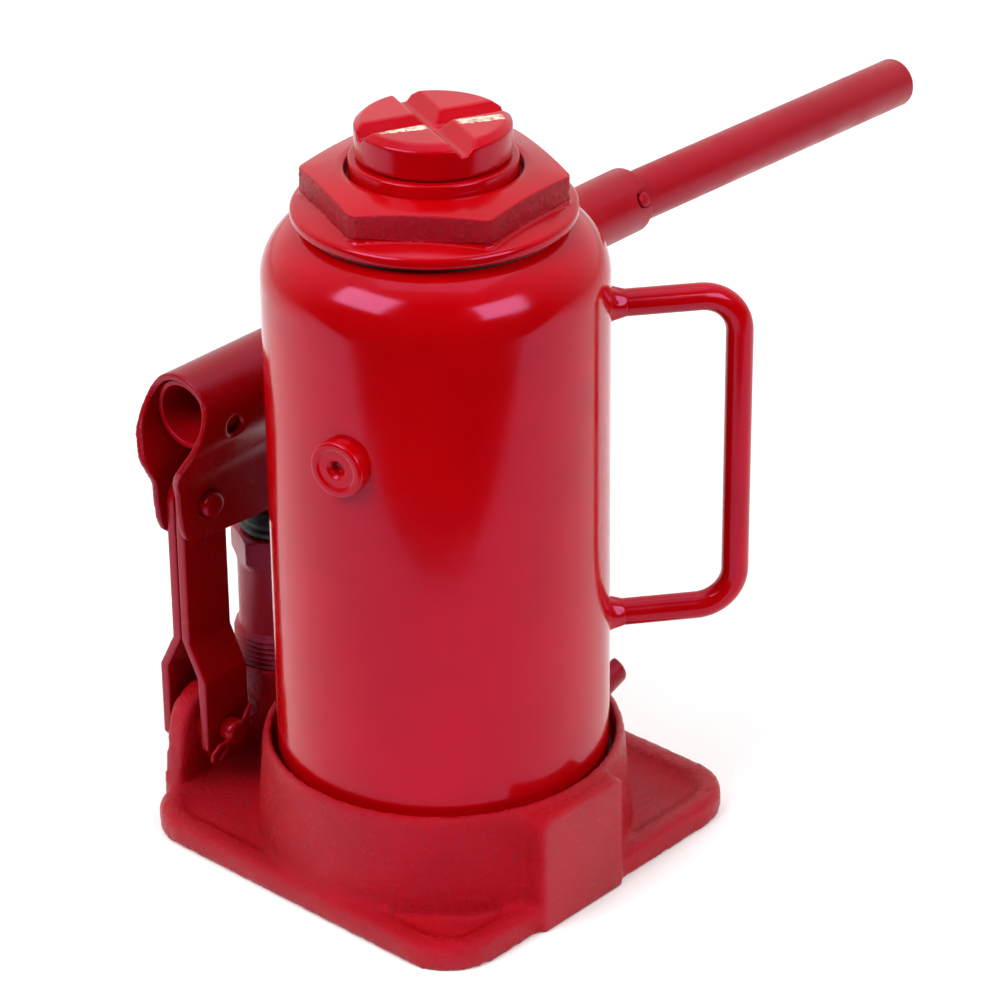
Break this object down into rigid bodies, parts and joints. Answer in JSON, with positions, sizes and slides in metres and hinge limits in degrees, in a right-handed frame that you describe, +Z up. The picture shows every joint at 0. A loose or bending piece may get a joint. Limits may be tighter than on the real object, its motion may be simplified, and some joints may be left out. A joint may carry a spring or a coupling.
{
  "type": "hydraulic bottle jack",
  "caption": "Red enamelled hydraulic bottle jack: cast base, round oil tank, hexagon top nut with ram and grooved saddle, carry handle, lever pump with telescoping lever.",
  "frame": {"origin": "on the ram's axis at the underside of the base plate", "axes": "+Z up along the ram, +X along the pump lever from its socket towards its grip, +Y from the ram towards the pump"},
  "size_m": [0.4145, 0.1653, 0.259],
  "materials": {
    "cast_base_enamel": "glossy red enamel over a rough casting",
    "tank_enamel": "high gloss red enamel",
    "nut_enamel": "glossy red enamel over rough flats",
    "saddle_enamel": "glossy red enamel, worn to bare iron along the grooves",
    "plug_red_rubber": "glossy red enamel over a rubber button",
    "lever_enamel": "semi-gloss red enamel",
    "linkage_enamel": "satin red enamel",
    "pin_enamel": "thick red enamel over steel pins",
    "fitting_enamel": "thick red enamel over turned steel",
    "ram_enamel": "red enamel over its exposed top, steel below",
    "black_seal_rubber": "matte black rubber",
    "dark_gasket": "dark soft gasket",
    "copper_washer": "soft copper",
    "machined_steel": "turned steel, lightly oiled",
    "bearing_steel": "polished steel",
    "brass_mesh": "perforated brass disc"
  },
  "bodies": {
    "jack_body": {"base_casting": "cast_base_enamel", "oil_tank": "tank_enamel", "tank_foot_gasket": "dark_gasket", "tank_mouth_gasket": "dark_gasket", "cylinder_tube": "machined_steel", "cylinder_washer": "copper_washer", "top_nut": "nut_enamel", "ram_gland_seal": "black_seal_rubber", "ram_wiper": "black_seal_rubber", "carry_handle": "tank_enamel", "carry_handle_welds": "tank_enamel", "filler_plug": "plug_red_rubber", "pump_cylinder": "fitting_enamel", "pump_washer": "copper_washer", "pump_packing": "black_seal_rubber", "pump_dust_seal": "black_seal_rubber", "suction_ball": "bearing_steel", "delivery_ball": "bearing_steel", "oil_strainer": "brass_mesh", "overload_ball": "bearing_steel", "overload_spring": "bearing_steel", "overload_screw": "machined_steel", "release_gland_nut": "fitting_enamel", "lug_pin": "pin_enamel", "lug_split_pin": "pin_enamel"},
    "ram_body": {"ram": "ram_enamel", "piston_head": "machined_steel", "piston_cup": "black_seal_rubber", "piston_nut": "machined_steel"},
    "screw_carriage": {"screw_stop_ring": "machined_steel"},
    "screw_body": {"extension_screw": "machined_steel", "saddle": "saddle_enamel"},
    "link_body": {"link_plate_near": "linkage_enamel", "link_plate_far": "linkage_enamel"},
    "handle_body": {"handle_socket": "linkage_enamel", "fulcrum_pin": "pin_enamel", "plunger_pin": "pin_enamel", "plunger_pin_clips": "pin_enamel"},
    "plunger_body": {"pump_plunger": "machined_steel"},
    "lever_body": {"lever_tube": "lever_enamel"},
    "grip_body": {"grip_tube": "lever_enamel", "grip_stud": "lever_enamel"},
    "valve_body": {"release_valve": "fitting_enamel", "release_valve_ring": "black_seal_rubber"}
  },
  "joints": [
    {"name": "ram_lift", "type": "slide", "parent": "jack_body", "child": "ram_body", "axis": [0, 0, 1], "range_m": [0, 0.145]},
    {"name": "screw_lift", "type": "slide", "parent": "ram_body", "child": "screw_carriage", "axis": [0, 0, 1], "range_m": [0, 0.0595]},
    {"name": "screw_turn", "type": "hinge", "parent": "screw_carriage", "child": "screw_body", "pos_m": [0, 0, 0.2], "axis": [0, 0, 1], "range_deg": [0, 4321]},
    {"name": "handle_pump", "type": "hinge", "parent": "link_body", "child": "handle_body", "pos_m": [-0.0315, 0.0812, 0.112], "axis": [0, -1, 0], "range_deg": [0, 36]},
    {"name": "link_swing", "type": "hinge", "parent": "jack_body", "child": "link_body", "pos_m": [-0.0315, 0.0812, 0.0275], "axis": [0, 1, 0], "range_deg": [0, 5]},
    {"name": "plunger_stroke", "type": "slide", "parent": "jack_body", "child": "plunger_body", "axis": [0, 0, 1], "range_m": [0, 0.026]},
    {"name": "lever_pull", "type": "slide", "parent": "handle_body", "child": "lever_body", "axis": [0.9999, 0, 0.0169], "range_m": [0, 0.12]},
    {"name": "grip_pull", "type": "slide", "parent": "lever_body", "child": "grip_body", "axis": [0.9999, 0, -0.012], "range_m": [0, 0.03]},
    {"name": "release_valve_turn", "type": "hinge", "parent": "jack_body", "child": "valve_body", "pos_m": [0.085, -0.002, 0.029], "axis": [0.9397, 0, 0.342], "range_deg": [0, 540]}
  ],
  "couplings": [
    {"joint": "screw_turn", "follows": "screw_lift", "rad_per_m": 1256.6},
    {"joint": "link_swing", "follows": "handle_pump", "ratio": 0.0575},
    {"joint": "plunger_stroke", "follows": "handle_pump", "m_per_rad": 0.03465}
  ]
}
